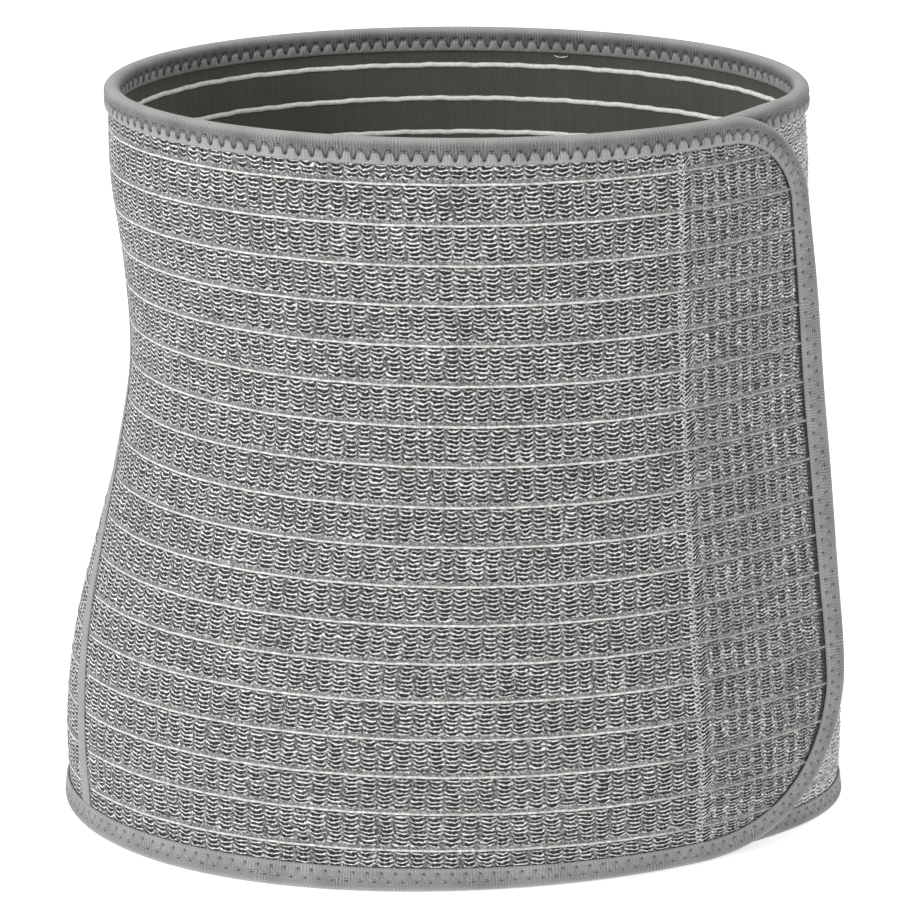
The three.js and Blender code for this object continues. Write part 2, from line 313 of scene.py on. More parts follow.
class Pattern:
    """Small arithmetic on shader values, so that a pattern reads as a formula."""

    def __init__(self, tree):
        self.tree = tree

    def math(self, operation, *values, clamp=False):
        node = self.tree.nodes.new("ShaderNodeMath")
        node.operation = operation
        node.use_clamp = clamp
        for socket, value in zip(node.inputs, values):
            if isinstance(value, (int, float)):
                socket.default_value = value
            else:
                self.tree.links.new(value, socket)
        return node.outputs[0]

    def add(self, a, b):
        return self.math("ADD", a, b)

    def sub(self, a, b):
        return self.math("SUBTRACT", a, b)

    def mul(self, a, b):
        return self.math("MULTIPLY", a, b)

    def ramp(self, value, low, high, to_low=0.0, to_high=1.0):
        """A smooth step of value from low to high."""
        node = self.tree.nodes.new("ShaderNodeMapRange")
        node.interpolation_type = "SMOOTHSTEP"
        self.tree.links.new(value, node.inputs["Value"])
        for name, number in (
            ("From Min", low),
            ("From Max", high),
            ("To Min", to_low),
            ("To Max", to_high),
        ):
            if isinstance(number, (int, float)):
                node.inputs[name].default_value = number
            else:
                self.tree.links.new(number, node.inputs[name])
        return node.outputs["Result"]

    def noise(self, vector, scale, detail=2.0, roughness=0.5):
        node = self.tree.nodes.new("ShaderNodeTexNoise")
        node.inputs["Scale"].default_value = scale
        node.inputs["Detail"].default_value = detail
        node.inputs["Roughness"].default_value = roughness
        self.tree.links.new(vector, node.inputs["Vector"])
        return node.outputs["Fac"]

    def cell(self, x, y, z):
        """One random value for each cell of a counted pattern."""
        node = self.tree.nodes.new("ShaderNodeTexWhiteNoise")
        node.noise_dimensions = "3D"
        self.tree.links.new(self.vector(x, y, z), node.inputs["Vector"])
        return node.outputs["Value"]

    def vector(self, x, y, z=0.0):
        node = self.tree.nodes.new("ShaderNodeCombineXYZ")
        for socket, value in zip(node.inputs, (x, y, z)):
            if isinstance(value, (int, float)):
                socket.default_value = value
            else:
                self.tree.links.new(value, socket)
        return node.outputs[0]

    def tint(self, factor, dark, light):
        node = self.tree.nodes.new("ShaderNodeMix")
        node.data_type = "RGBA"
        for socket, colour in ((node.inputs[6], dark), (node.inputs[7], light)):
            if isinstance(colour, tuple):
                socket.default_value = (*colour, 1)
            else:
                self.tree.links.new(colour, socket)
        self.tree.links.new(factor, node.inputs[0])
        return node.outputs[2]


def new_finish(name):
    """A material with its Principled shader, and its pattern helper."""
    material = bpy.data.materials.new(name)
    material.use_nodes = True
    shader = material.node_tree.nodes["Principled BSDF"]
    return material, shader, Pattern(material.node_tree)


def flat_place(pattern):
    """The cloth's own flat coordinates: length along the strip and height, in metres."""
    node = pattern.tree.nodes.new("ShaderNodeUVMap")
    node.uv_map = "flat"
    split = pattern.tree.nodes.new("ShaderNodeSeparateXYZ")
    pattern.tree.links.new(node.outputs[0], split.inputs[0])
    return node.outputs[0], split.outputs[0], split.outputs[1]


def finish_with(pattern, shader, colour, roughness, height, depth):
    """Joins colour, roughness and a bump of the given depth in metres to the shader."""
    bump = pattern.tree.nodes.new("ShaderNodeBump")
    bump.inputs["Distance"].default_value = depth
    bump.inputs["Strength"].default_value = 1.0
    pattern.tree.links.new(height, bump.inputs["Height"])
    pattern.tree.links.new(bump.outputs[0], shader.inputs["Normal"])
    pattern.tree.links.new(colour, shader.inputs["Base Color"])
    if isinstance(roughness, (int, float)):
        shader.inputs["Roughness"].default_value = roughness
    else:
        pattern.tree.links.new(roughness, shader.inputs["Roughness"])


def knit_outside():
    """Outer face: grey loops with pairs of dark holes in rows, and plain paler bands; painted shadow
    under each white yarn and painted shade beside the binding's lip.
    """
    material, shader, knit = new_finish("knit_outside")
    place, length, height = flat_place(knit)
    wander = knit.sub(knit.noise(place, 300.0, 2.0), 0.5)
    drift = knit.sub(knit.noise(place, 60.0, 1.0), 0.5)
    lift = knit.sub(knit.noise(place, 420.0, 2.0), 0.5)
    u = knit.add(length, knit.add(knit.mul(wander, 0.0026), knit.mul(drift, 0.0028)))
    v = knit.add(height, knit.mul(lift, 0.0013))
    stripe = knit.mul(knit.sub(v, FIRST_STRIPE), 1 / STRIPE_PITCH)
    below = knit.mul(knit.sub(1.0, knit.math("FRACT", stripe)), STRIPE_PITCH)
    column = knit.mul(u, 1 / HOLE_COLUMN)
    across = knit.sub(knit.math("FRACT", column), 0.5)
    # past the stitching the rows of holes lie closer
    flap = knit.ramp(length, 0.001, 0.004)
    row = knit.mul(knit.mul(below, 1 / HOLE_ROW), knit.add(1.0, knit.mul(flap, 0.22)))
    counted = [knit.math("FLOOR", value) for value in (column, row, stripe)]
    chance = knit.cell(counted[0], counted[1], counted[2])
    second = knit.cell(counted[1], counted[2], counted[0])
    third = knit.cell(counted[2], counted[0], counted[1])
    sag = knit.mul(knit.math("POWER", knit.math("ABSOLUTE", across), 2.0), 2.6)
    down = knit.sub(knit.math("FRACT", knit.add(row, sag)), 0.5)
    in_rows = knit.ramp(below, HOLES_END + 0.0001, HOLES_END - 0.0003)
    shifted = knit.add(across, knit.mul(knit.sub(second, 0.5), 0.14))
    side = knit.math("ABSOLUTE", shifted)
    # and there, and where hooks have pulled at the loops, the holes are smaller
    worn = knit.ramp(length, WORN_END + 0.034, WORN_END - 0.004)
    half = knit.sub(knit.add(0.22, knit.mul(chance, 0.12)), knit.mul(flap, 0.05))
    dash = knit.ramp(knit.sub(side, half), 0.05, -0.05)
    thick = knit.sub(knit.add(0.16, knit.mul(second, 0.14)), knit.mul(flap, 0.03))
    dash = knit.mul(dash, knit.ramp(knit.sub(knit.math("ABSOLUTE", down), thick), 0.10, -0.08))
    paired = knit.math("ABSOLUTE", knit.sub(side, 0.16))
    lobe = knit.math("MINIMUM", paired, knit.add(side, knit.mul(second, 0.16)))
    dots = knit.math("SQRT", knit.add(
        knit.math("POWER", knit.mul(lobe, 7.2), 2.0),
        knit.math("POWER", knit.mul(down, 2.1), 2.0),
    ))
    dots = knit.ramp(dots, 1.02, 0.60)
    dots = knit.mul(dots, knit.ramp(third, 0.0, 0.25))
    holes_and_shade = knit.math("MAXIMUM", knit.mul(dash, knit.add(0.25, knit.mul(third, 0.55))), dots)
    holes_and_shade = knit.mul(knit.mul(holes_and_shade, in_rows), knit.sub(1.0, knit.mul(worn, 0.6)))
    holes_and_shade = knit.mul(holes_and_shade, knit.sub(1.0, knit.mul(flap, 0.05)))
    curl = knit.add(0.5, knit.mul(knit.math("COSINE", knit.mul(down, 2 * math.pi)), -0.5))
    in_column = knit.ramp(side, 0.42, 0.27)
    fine = knit.sub(knit.noise(place, 2600.0, 2.0, 0.8), 0.5)
    coarse = knit.sub(knit.noise(place, 1100.0, 1.0, 0.5), 0.5)
    tilted = knit.vector(
        knit.mul(knit.add(length, knit.mul(height, 0.7)), 2200.0),
        knit.mul(knit.sub(height, knit.mul(length, 0.5)), 520.0),
    )
    hatch = knit.sub(knit.noise(tilted, 1.0, 2.0, 0.6), 0.5)
    grain = knit.add(knit.add(knit.mul(fine, 2.0), knit.mul(coarse, 1.0)), knit.mul(hatch, 1.7))
    bright = knit.sub(knit.add(0.70, knit.mul(chance, 0.5)), knit.mul(flap, 0.48))
    lit = knit.mul(knit.math("POWER", curl, 3.0), knit.add(bright, 0.14))
    crescent = knit.add(knit.add(0.03, knit.mul(flap, 0.12)), lit)
    knot = knit.ramp(knit.add(knit.mul(curl, 0.6), third), 0.95, 1.35)
    raised = knit.add(knit.mul(curl, 0.12), knit.mul(knot, 0.5))
    rib = knit.add(knit.add(0.11, knit.mul(flap, 0.09)), raised)
    tone = knit.add(
        knit.mul(crescent, in_column),
        knit.mul(rib, knit.sub(1.0, in_column)),
    )
    tone = knit.add(tone, grain)
    plain = knit.add(0.27, knit.mul(grain, 0.7))
    tone = knit.add(knit.mul(tone, in_rows), knit.mul(plain, knit.sub(1.0, in_rows)))
    tone = knit.add(tone, knit.add(knit.mul(drift, 0.2), knit.mul(worn, 0.22)))
    tone = knit.math("ADD", knit.mul(tone, 1.20), knit.sub(knit.mul(flap, 0.03), 0.105), clamp=True)
    ground = knit.tint(tone, (0.028, 0.029, 0.026), (0.82, 0.82, 0.805))
    # painted shadow: a dark line under each white yarn; and painted shade on the cloth beside the
    # binding's lip
    painted_yarn_shadow = knit.mul(knit.ramp(knit.math("ABSOLUTE", knit.sub(below, 0.0008)), 0.0005, 0.0001), 0.45)
    rim_node = knit.tree.nodes.new("ShaderNodeUVMap")
    rim_node.uv_map = "rim"
    rim_split = knit.tree.nodes.new("ShaderNodeSeparateXYZ")
    knit.tree.links.new(rim_node.outputs[0], rim_split.inputs[0])
    shade = knit.mul(knit.ramp(rim_split.outputs[0], 0.0077, 0.0071), 0.9)
    holes_and_shade = knit.math("MAXIMUM", knit.math("MAXIMUM", holes_and_shade, painted_yarn_shadow), shade)
    # the holes, the painted yarn shadows and the painted lip shade together darken the colour and sink
    # the bump
    colour = knit.tint(knit.mul(holes_and_shade, 0.97), ground, (0.006, 0.006, 0.005))
    level = knit.sub(knit.add(tone, knit.mul(curl, 0.3)), knit.mul(holes_and_shade, 1.4))
    finish_with(knit, shader, colour, 0.9, level, 0.0003)
    shader.inputs["Sheen Weight"].default_value = 0.05
    shader.inputs["Sheen Roughness"].default_value = 0.6
    return material


def knit_inside():
    """Inner face: dark grey, close and plain, with faint upright wales."""
    material, shader, knit = new_finish("knit_inside")
    place, length, height = flat_place(knit)
    wale = knit.math("SINE", knit.mul(length, 2 * math.pi / 0.0011))
    course = knit.math("SINE", knit.mul(height, 2 * math.pi / 0.0008))
    cloud = knit.noise(place, 45.0, 3.0)
    long_streaks = knit.noise(knit.vector(knit.mul(length, 420.0), knit.mul(height, 14.0)), 1.0, 2.0)
    fine = knit.noise(place, 2200.0, 2.0, 0.7)
    tone = knit.add(knit.mul(cloud, 0.45), knit.mul(long_streaks, 0.4))
    tone = knit.add(tone, knit.mul(knit.sub(fine, 0.5), 0.7))
    tone = knit.add(tone, knit.mul(wale, 0.08))
    tone = knit.math("ADD", tone, 0.0, clamp=True)
    colour = knit.tint(tone, (0.038, 0.038, 0.030), (0.112, 0.113, 0.096))
    level = knit.add(knit.add(knit.mul(wale, 0.4), knit.mul(course, 0.3)), fine)
    finish_with(knit, shader, colour, 0.95, level, 0.00012)
    shader.inputs["Sheen Weight"].default_value = 0.1
    return material


outside_finish = knit_outside()
inside_finish = knit_inside()
for finish in (outside_finish, inside_finish):
    back_panel.data.materials.append(finish)
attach(back_panel, "root")
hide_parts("back_panel")


# Front panel: the same elastic from the side seam across the front to the rounded flap end.
# Its free end past the hook stitching stands a little off the layer under it.

front_panel = bent_cloth(
    "front_panel_cloth",
    lambda height: side_seam(height) + degrees_for(SEAM_GAP, height),
    lambda height: flap_end(height, EDGE_INSET),
    rows,
    column=0.00125,
    coarser=4,
    relief=knit_relief,
    inside=-HALF_WALL,
    outside=HALF_WALL,
    bound_end=True,
)
for finish in (outside_finish, inside_finish):
    front_panel.data.materials.append(finish)
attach(front_panel, "root")
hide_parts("front_panel")


# Stripe yarns: the white elastic yarn that crosses the cloth every 12.5 mm. It shows outside as
# a thin bright line, and inside as a thicker raised rib, a little uneven where loops catch it.

THREAD_WIDE = 0.00042
THREAD_THICK = 0.00020
THREAD_SEAT = 0.00012
THREAD_WAVER = 0.00012
RIB_WIDE = 0.00085
RIB_THICK = 0.00042
RIB_SEAT = 0.0001
RIB_WAVER = 0.00022
YARN_INSET = 0.003
DULL_FROM = 0.058


def laid_yarns(name, lines, wide, thick, sides=4):
    """Yarns lying on the cloth, in one mesh. Each line is its wrap angles, heights and distances
    outside the middle surface, the same count in every line; wide and thick are the section's
    half sizes."""
    angle, height, out = (np.array([line[part] for line in lines]) for part in range(3))
    count, points = angle.shape
    mesh = bmesh.new()
    bmesh.ops.create_grid(mesh, x_segments=points - 1, y_segments=count * (sides + 1) - 1, size=0.5)
    mesh.verts.index_update()
    share = np.array([vert.co[:2] for vert in mesh.verts]) + 0.5
    index = np.rint(share[:, 0] * (points - 1)).astype(int)
    level = np.rint(share[:, 1] * (count * (sides + 1) - 1)).astype(int)
    line = level // (sides + 1)
    turn = 2 * np.pi * (level % (sides + 1)) / sides
    centre = wrap(angle, height, out)
    outward = wrap(angle, height, out + 0.001) - centre
    outward /= np.linalg.norm(outward, axis=-1)[..., None]
    across = np.cross(outward, np.gradient(centre, axis=1))
    across /= np.linalg.norm(across, axis=-1)[..., None]
    reach = np.where((index == 0) | (index == points - 1), 0.0, 1.0)
    places = (
        centre[line, index]
        + across[line, index] * (wide * reach * np.cos(turn))[:, None]
        + outward[line, index] * (thick * reach * np.sin(turn))[:, None]
    )
    # the sheet is parted into one strip for each line, and each strip closes to a tube
    between = [face for face in mesh.faces if len({line[vert.index] for vert in face.verts}) > 1]
    for vert, place in zip(mesh.verts, places):
        vert.co = place
    bmesh.ops.delete(mesh, geom=between, context="FACES")
    for face in mesh.faces:
        face.smooth = True
    bmesh.ops.remove_doubles(mesh, verts=mesh.verts, dist=1e-6)
    bmesh.ops.recalc_face_normals(mesh, faces=mesh.faces)
    data = bpy.data.meshes.new(name)
    mesh.to_mesh(data)
    mesh.free()
    piece = bpy.data.objects.new(name, data)
    bpy.context.scene.collection.objects.link(piece)
    return piece


def stripe_lines(starts, ends, count, out, waver, seed):
    """The 18 stripes of a panel, each wandering a little up and down."""
    chance = np.random.default_rng(seed)
    lines = []
    for stripe in range(STRIPES):
        level = FIRST_STRIPE + STRIPE_PITCH * stripe
        low = length_at(float(starts(level))) + 0.0005
        high = length_at(float(ends(level))) - 0.0005
        along = np.linspace(low, high, count)
        wave = sum(
            size * np.sin(along * 2 * np.pi / period + chance.uniform(0, 7))
            for period, size in ((0.0063, 0.30), (0.0107, 0.35), (0.0231, 0.35))
        )
        angle = angle_at(along)
        lines.append((angle, level + stripe_rise(angle, level) + waver * wave, 0 * angle + out))
    return lines


def yarn_finish(name, dark, light, twist, dull_from=None):
    """Yarn: pale and matte, with a faint twist along it, duller past dull_from to the right."""
    material, shader, yarn = new_finish(name)
    node = yarn.tree.nodes.new("ShaderNodeTexCoord")
    place = node.outputs["Object"]
    mottle = yarn.noise(place, 700.0, 2.0, 0.6)
    fine = yarn.noise(place, 3500.0, 1.0, 0.6)
    tone = yarn.add(yarn.mul(yarn.sub(mottle, 0.5), 1.6), yarn.mul(yarn.sub(fine, 0.5), 1.4))
    tone = yarn.add(tone, 0.55)
    if dull_from is not None:
        split = yarn.tree.nodes.new("ShaderNodeSeparateXYZ")
        yarn.tree.links.new(place, split.inputs[0])
        tone = yarn.sub(tone, yarn.ramp(split.outputs[0], dull_from, dull_from + 0.02, 0.0, 0.42))
    tone = yarn.math("ADD", tone, 0.0, clamp=True)
    colour = yarn.tint(tone, dark, light)
    finish_with(yarn, shader, colour, 0.8, fine, twist)
    return material


thread_finish = yarn_finish("stripe_thread", (0.22, 0.22, 0.21), (0.84, 0.84, 0.82), 0.0001, DULL_FROM)
rib_finish = yarn_finish("inner_rib_yarn", (0.62, 0.62, 0.58), (0.95, 0.95, 0.91), 0.0002)
panels = (
    (
        "back",
        (240, 280),
        lambda height: inner_end(height, YARN_INSET),
        lambda height: side_seam(height) - degrees_for(YARN_INSET, height),
    ),
    (
        "front",
        (160, 190),
        lambda height: side_seam(height) + degrees_for(YARN_INSET, height),
        lambda height: flap_end(height, YARN_INSET),
    ),
)
for index, (side, counts, starts, ends) in enumerate(panels):
    threads = laid_yarns(
        side + "_stripe_threads",
        stripe_lines(starts, ends, counts[0], HALF_WALL + THREAD_SEAT, THREAD_WAVER, 11 + index),
        THREAD_WIDE,
        THREAD_THICK,
    )
    threads.data.materials.append(thread_finish)
    ribs = laid_yarns(
        side + "_inner_ribs",
        stripe_lines(starts, ends, counts[1], -HALF_WALL - RIB_SEAT, RIB_WAVER, 31 + index),
        RIB_WIDE,
        RIB_THICK,
        sides=5,
    )
    ribs.data.materials.append(rib_finish)
    for yarn in (threads, ribs):
        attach(yarn, "root")


# Loop pile: where the hooks have gripped the layer under the flap, its loops are teased out
# into short fuzzy strands lying round the body.

PILE_STRANDS = 5200
PILE_MARGIN = 0.010
PILE_POINTS = 5
chance = np.random.default_rng(23)
strands = []
for number in range(PILE_STRANDS):
    middle = chance.uniform(PILE_MARGIN, HEIGHT - PILE_MARGIN)
    start = length_at(chance.uniform(*WORN_ANGLES))
    along = start + np.linspace(0, chance.uniform(0.002, 0.0055), PILE_POINTS)
    bow = np.array([0.0, 0.7, 1.0, 0.7, 0.0]) * chance.uniform(0.0001, 0.0006)
    drop = np.cumsum(chance.normal(0, 0.00014, PILE_POINTS))
    strands.append((angle_at(along), middle + drop, HALF_WALL + 0.0001 + bow))
pile = laid_yarns("loop_pile", strands, wide=0.00011, thick=0.00010, sides=3)
pile.data.materials.append(yarn_finish("pile_fibre", (0.42, 0.42, 0.40), (0.92, 0.92, 0.90), 0.00005))
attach(pile, "root")


# Side seam tape: a flat knitted tape sewn over the joint of the two panels.

SEAM_TAPE_WIDTH = 0.007
SEAM_TAPE_END = 0.0072
SEAM_TAPE_OUT = 0.0009
SEAM_TAPE_WALL = 0.0005
tape_rows = np.linspace(SEAM_TAPE_END, HEIGHT - SEAM_TAPE_END, 241)


def seam_relief(length, height):
    middle = length_at(side_seam(height))
    across = (length - middle) / (SEAM_TAPE_WIDTH / 2)
    ridge = 0.5 + 0.5 * np.cos(2 * np.pi * height / 0.0016)
    return -0.00025 * np.abs(across) ** 4 + 0.00008 * ridge


side_tape = bent_cloth(
    "side_seam_tape_cloth",
    lambda height: side_seam(height) - degrees_for(SEAM_TAPE_WIDTH / 2, height),
    lambda height: side_seam(height) + degrees_for(SEAM_TAPE_WIDTH / 2, height),
    tape_rows,
    column=0.0007,
    coarser=1,
    relief=seam_relief,
    inside=SEAM_TAPE_OUT,
    outside=SEAM_TAPE_OUT + SEAM_TAPE_WALL,
)


def smooth_knit(name, dark, light, wale, course):
    """Close fine knit of the tapes: faint wales across the tape, matte, a little mottled."""
    material, shader, knit = new_finish(name)
    place, length, height = flat_place(knit)
    ribs = knit.math("SINE", knit.mul(length, 2 * math.pi / wale))
    loops = knit.math("SINE", knit.mul(height, 2 * math.pi / course))
    cloud = knit.noise(place, 70.0, 3.0)
    fine = knit.noise(place, 3000.0, 2.0, 0.7)
    tone = knit.add(knit.mul(cloud, 0.7), knit.mul(knit.sub(fine, 0.5), 0.5))
    tone = knit.math("ADD", tone, knit.mul(ribs, 0.10), clamp=True)
    colour = knit.tint(tone, dark, light)
    level = knit.add(knit.add(ribs, knit.mul(loops, 0.5)), fine)
    finish_with(knit, shader, colour, 0.85, level, 0.00006)
    shader.inputs["Sheen Weight"].default_value = 0.15
    shader.inputs["Sheen Roughness"].default_value = 0.5
    return material


seam_finish = smooth_knit("seam_tape_knit", (0.17, 0.17, 0.165), (0.34, 0.34, 0.33), 0.0009, 0.0016)
side_tape.data.materials.append(seam_finish)
side_tape.data.materials.append(seam_finish)
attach(side_tape, "root")
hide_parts("side_seam_tape")


# Hook panel: the gripping side of the closure, a close field of short hooks on a plain tape,
# sewn to the inside of the flap.

HOOK_INSET = 0.010
HOOK_OUTSIDE = -0.00155
HOOK_WALL = 0.0012
HOOK_BESIDE_STITCHING = 0.003
hook_rows = np.linspace(HOOK_INSET, HEIGHT - HOOK_INSET, 151)
hook_panel = bent_cloth(
    "hook_panel_cloth",
    lambda height: STITCH_ANGLE - degrees_for(HOOK_BESIDE_STITCHING, height),
    lambda height: flap_end(height, HOOK_INSET),
    hook_rows,
    column=0.0015,
    coarser=1,
    relief=lambda length, height: 0 * height,
    inside=HOOK_OUTSIDE - HOOK_WALL,
    outside=HOOK_OUTSIDE,
)


def hook_field():
    """Dark backing with rows of tiny paler hooks."""
    material, shader, knit = new_finish("hook_field")
    place, length, height = flat_place(knit)
    across = knit.math("SINE", knit.mul(length, 2 * math.pi / 0.0013))
    up = knit.math("SINE", knit.mul(height, 2 * math.pi / 0.0013))
    grid = knit.mul(across, up)
    fine = knit.noise(place, 1900.0, 2.0, 0.6)
    tone = knit.math("ADD", knit.mul(knit.ramp(grid, 0.2, 0.9), 0.7), knit.mul(fine, 0.3), clamp=True)
    colour = knit.tint(tone, (0.06, 0.06, 0.055), (0.30, 0.30, 0.28))
    finish_with(knit, shader, colour, 0.6, tone, 0.0004)
    return material


hook_finish = hook_field()
hook_panel.data.materials.append(hook_finish)
hook_panel.data.materials.append(hook_finish)
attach(hook_panel, "root")
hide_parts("hook_panel")


# Hook stitching: the white cover stitch that holds the hook panel shows outside as an upright
# row of small chevrons from one binding to the other.

CHEVRON_PITCH = 0.00135
CHEVRON_HALF = 0.0013
CHEVRON_DROP = 0.0008
CHEVRON_MARGIN = 0.0076
chance = np.random.default_rng(5)
chevrons = []
for level in np.arange(CHEVRON_MARGIN, HEIGHT - CHEVRON_MARGIN, CHEVRON_PITCH):
    shares = np.array([-1.0, -0.96, -0.5, 0.0, 0.5, 0.96, 1.0])
    half = CHEVRON_HALF * chance.uniform(0.8, 1.05)
    sway = 0.0003 * chance.uniform(-1, 1) + 0.0004 * math.sin(level * 60)
    heights = level + CHEVRON_DROP * np.abs(shares) * chance.uniform(0.7, 1.3)
    angles = STITCH_ANGLE + degrees_for(sway + half * shares, heights)
    chevrons.append((angles, heights, HALF_WALL + 0.00022 - 0.00025 * np.abs(shares) ** 4))
hook_stitching = laid_yarns("hook_stitching", chevrons, wide=0.00019, thick=0.00016)
white_stitch = yarn_finish("white_stitch", (0.34, 0.34, 0.33), (0.92, 0.92, 0.90), 0.00008)
hook_stitching.data.materials.append(white_stitch)
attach(hook_stitching, "root")


# Edge binding: one knitted tape folded over the whole outline, from the hidden inner end along
# the top, round the flap's end and back along the bottom. Zigzag stitching draws it into small
# pillows between the needle holes.

STATION_STEP = 0.00073
TOOTH = 0.0044
# Distances into the strip from its edge and outside its middle, along the fold's outer skin
FOLD = [
    (0.00672, 0.00120),
    (0.00680, 0.00150),
    (0.00645, 0.00180),
    (0.00590, 0.00190),
    (0.00530, 0.00198),
    (0.00470, 0.00205),
    (0.00410, 0.00212),
    (0.00350, 0.00220),
    (0.00280, 0.00228),
    (0.00200, 0.00236),
    (0.00110, 0.00238),
    (0.00015, 0.00220),
    (-0.00060, 0.00174),
    (-0.00115, 0.00100),
    (-0.00132, 0.00000),
]
FOLD_LINING = [(0.0066, 0.0011), (0.0035, 0.0011), (0.0004, 0.0011), (-0.0003, 0.0007), (-0.0004, 0.0)]
STITCH_IN = (0.0026, 0.0051)
STITCH_SWING = (0.36, 0.96)
STITCH_WIDTH = 0.0006
HOLE_SIZE = (0.0007, 0.0006)
PUFF_LOSS = 0.75
PUFF_FADE = 0.02
PILLOW_RISE = 0.00055
STITCH_SINK = 0.00045
HOLE_SINKS = (0.00055, 0.00040)
ROLL_RISE = 0.00030


def outline():
    """The strip's outline as wrap angles and heights, once round, at the binding's seat."""
    top, bottom = HEIGHT - EDGE_INSET, EDGE_INSET
    sweep = np.linspace(0, 1, 400)
    quarter = np.radians(np.linspace(0, 90, 80))

    def corner_path(end, corner, at_top):
        # from the long edge round to the end of the strip
        high = corner[1] - EDGE_INSET
        from_edge = corner[1] - high * np.cos(quarter)
        height = HEIGHT - from_edge if at_top else from_edge
        return end(height, EDGE_INSET), height

    flap_top = corner_path(flap_end, TOP_CORNER, True)
    flap_bottom = corner_path(flap_end, BOTTOM_CORNER, False)
    inner_top = corner_path(inner_end, INNER_CORNER, True)
    inner_bottom = corner_path(inner_end, INNER_CORNER, False)
    parts = []
    parts.append((inner_top[0][::-1], inner_top[1][::-1]))
    turn = flap_top[0][0] - inner_top[0][0]
    parts.append((inner_top[0][0] + turn * sweep, 0 * sweep + top))
    parts.append(flap_top)
    side = flap_top[1][-1] + (flap_bottom[1][-1] - flap_top[1][-1]) * sweep
    parts.append((flap_end(side, EDGE_INSET), side))
    parts.append((flap_bottom[0][::-1], flap_bottom[1][::-1]))
    turn = inner_bottom[0][0] - flap_bottom[0][0]
    parts.append((flap_bottom[0][0] + turn * sweep, 0 * sweep + bottom))
    parts.append(inner_bottom)
    side = inner_bottom[1][-1] + (inner_top[1][-1] - inner_bottom[1][-1]) * sweep
    parts.append((inner_end(side, EDGE_INSET), side))
    angle = np.concatenate([part[0] for part in parts])
    height = np.concatenate([part[1] for part in parts])
    place = wrap(angle, height, 0.0)
    step = np.linalg.norm(np.diff(place, axis=0, append=place[:1]), axis=1)
    keep = step > 1e-7
    angle, height, step = angle[keep], height[keep], step[keep]
    run = np.concatenate([[0], np.cumsum(step)])
    count = int(round(run[-1] / TOOTH)) * round(TOOTH / STATION_STEP)
    at = np.arange(count) * run[-1] / count
    angle = np.interp(at, run, np.append(angle, angle[0]))
    height = np.interp(at, run, np.append(height, height[0]))
    return angle, height, at, run[-1]


edge_angle, edge_height, edge_run, edge_length = outline()
edge_count = len(edge_angle)
# where the top edge turns down the flap's end
top_run = float(edge_run[(edge_height < HEIGHT - 0.012) & (edge_run > 0.1)][0])
step_angle = np.roll(edge_angle, -1) - np.roll(edge_angle, 1)
step_height = np.roll(edge_height, -1) - np.roll(edge_height, 1)
step_along = step_angle / degrees_for(1.0, edge_height)
step_size = np.hypot(step_height, step_along)
inward_along = step_height / step_size
inward_up = -step_along / step_size


def beside_edge(station, into, out):
    """Points beside stations of the edge line, at distances into the strip and outside its middle."""
    height = edge_height[station] + into * inward_up[station]
    angle = edge_angle[station] + degrees_for(into * inward_along[station], edge_height[station])
    return wrap(angle, height, out)


def zigzag(run):
    """Distance of the stitch line into the strip, at a distance along the edge."""
    share = run / TOOTH - np.floor(run / TOOTH)
    return STITCH_IN[0] + (STITCH_IN[1] - STITCH_IN[0]) * smooth(np.abs(2 * share - 1), *STITCH_SWING)


# The fold's section as one closed loop: the outer skin from lip to lip, and the lining back
outer_skin = FOLD + [(into, -out) for into, out in reversed(FOLD[:-1])]
lining_skin = FOLD_LINING + [(into, -out) for into, out in reversed(FOLD_LINING[:-1])]
fold_loop = outer_skin + lining_skin[::-1]
fold_steps = np.linalg.norm(np.diff(np.array(fold_loop + fold_loop[:1]), axis=0), axis=1)
fold_run = np.concatenate([[0], np.cumsum(fold_steps)])
binding_mesh = bmesh.new()
bmesh.ops.create_grid(binding_mesh, x_segments=edge_count, y_segments=len(fold_loop), size=0.5)
flat_uv = binding_mesh.loops.layers.uv.new("flat")
binding_mesh.verts.ensure_lookup_table()
share = np.array([vert.co[:] for vert in binding_mesh.verts])
along = np.rint((share[:, 0] + 0.5) * edge_count).astype(int)
around = np.rint((share[:, 1] + 0.5) * len(fold_loop)).astype(int)
fold = np.array(fold_loop)[around % len(fold_loop)]
station = along % edge_count
run = edge_run[station]
is_skin = (around % len(fold_loop)) < len(outer_skin)


def puff(run):
    """Share of the pillowing: full along the top edge, faint down the flap and below."""
    return 1 - PUFF_LOSS * smooth(run, top_run - PUFF_FADE, top_run + PUFF_FADE)


def skin_relief(into, run):
    """How far stitching lifts or sinks the fold's skin: pillows with sunk lines and holes."""
    share = run / TOOTH - np.floor(run / TOOTH)
    line = np.exp(-((into - zigzag(run)) / STITCH_WIDTH) ** 2)
    tall, wide = HOLE_SIZE
    beside = np.abs(share - 0.5) * TOOTH
    at_top = np.exp(-(((into - STITCH_IN[0]) / tall) ** 2 + (beside / wide) ** 2))
    beside = np.minimum(share, 1 - share) * TOOTH
    at_low = np.exp(-(((into - STITCH_IN[1]) / tall) ** 2 + (beside / wide) ** 2))
    tooth = smooth(into - zigzag(run), 0.0, 0.0010) * (1 - smooth(into, 0.0056, 0.0066))
    roll = 1 - smooth(np.abs(into - 0.0008), 0.0008, 0.0022)
    pulled = PILLOW_RISE * tooth - STITCH_SINK * line - HOLE_SINKS[0] * at_top - HOLE_SINKS[1] * at_low
    return ROLL_RISE * roll + puff(run) * pulled


